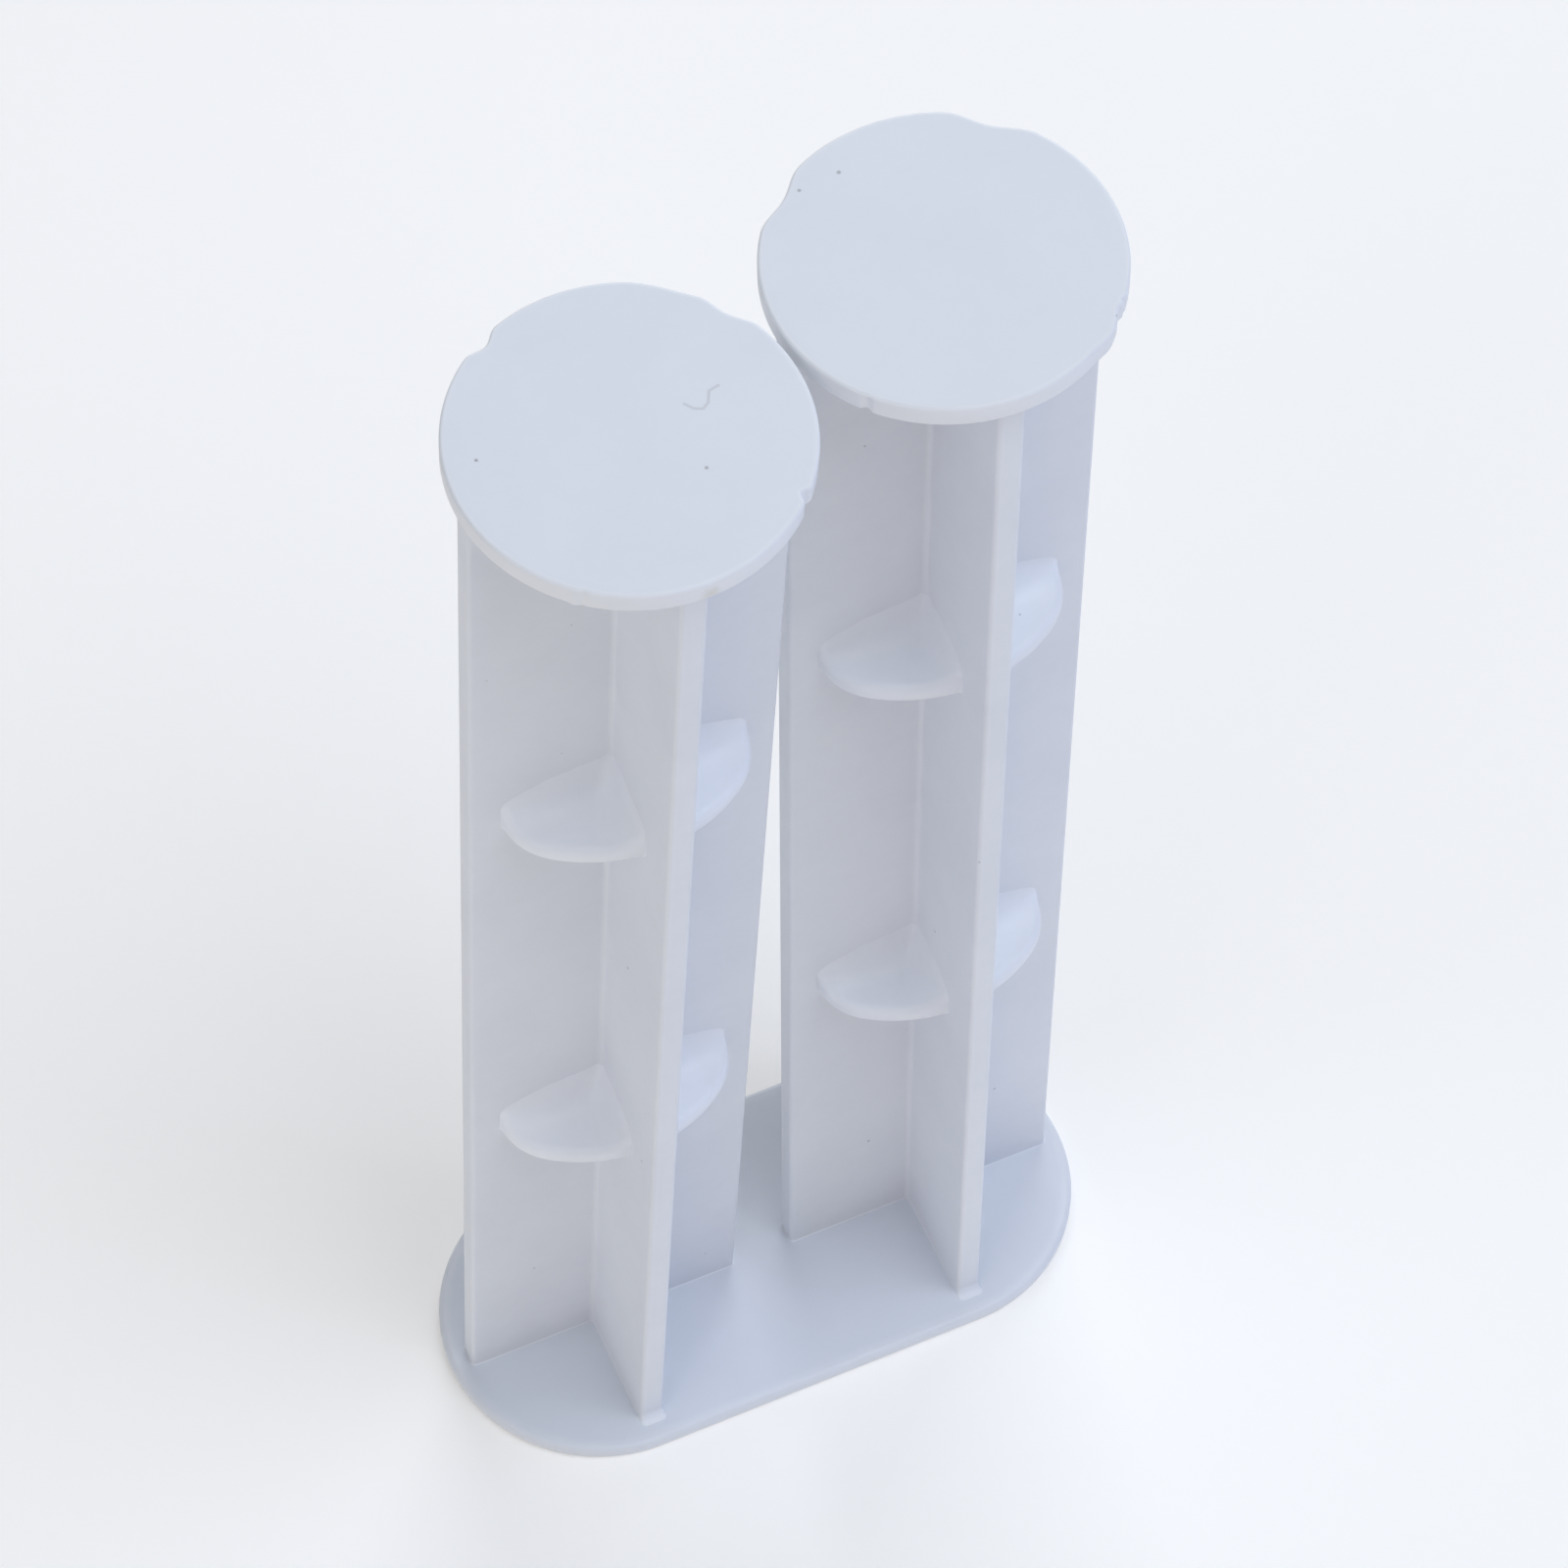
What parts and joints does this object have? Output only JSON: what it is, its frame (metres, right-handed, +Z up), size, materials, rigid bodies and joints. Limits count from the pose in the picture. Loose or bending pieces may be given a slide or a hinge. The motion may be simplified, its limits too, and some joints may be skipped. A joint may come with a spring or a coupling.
{
  "type": "spool holder stand",
  "caption": "Twin-post stand: a round-ended foot plate carries upright cross-ribbed posts side by side, each braced by round webs and closed by a round end disc.",
  "frame": {"origin": "middle of the foot plate's underside", "axes": "+Z up along the posts, +X along the foot from the left post to the right post, -Y to the front"},
  "size_m": [0.0336, 0.018, 0.0792],
  "materials": {
    "moulded_plastic": "smooth satin, cool white"
  },
  "bodies": {
    "root": {"foot_plate": "moulded_plastic", "left_spine_rib": "moulded_plastic", "left_front_rib": "moulded_plastic", "left_back_rib": "moulded_plastic", "left_end_disc": "moulded_plastic", "left_lower_web_front_outer": "moulded_plastic", "left_lower_web_front_inner": "moulded_plastic", "left_lower_web_back_inner": "moulded_plastic", "left_lower_web_back_outer": "moulded_plastic", "left_upper_web_front_outer": "moulded_plastic", "left_upper_web_front_inner": "moulded_plastic", "left_upper_web_back_inner": "moulded_plastic", "left_upper_web_back_outer": "moulded_plastic", "right_spine_rib": "moulded_plastic", "right_front_rib": "moulded_plastic", "right_back_rib": "moulded_plastic", "right_end_disc": "moulded_plastic", "right_lower_web_front_outer": "moulded_plastic", "right_lower_web_front_inner": "moulded_plastic", "right_lower_web_back_inner": "moulded_plastic", "right_lower_web_back_outer": "moulded_plastic", "right_upper_web_front_outer": "moulded_plastic", "right_upper_web_front_inner": "moulded_plastic", "right_upper_web_back_inner": "moulded_plastic", "right_upper_web_back_outer": "moulded_plastic"}
  },
  "joints": []
}
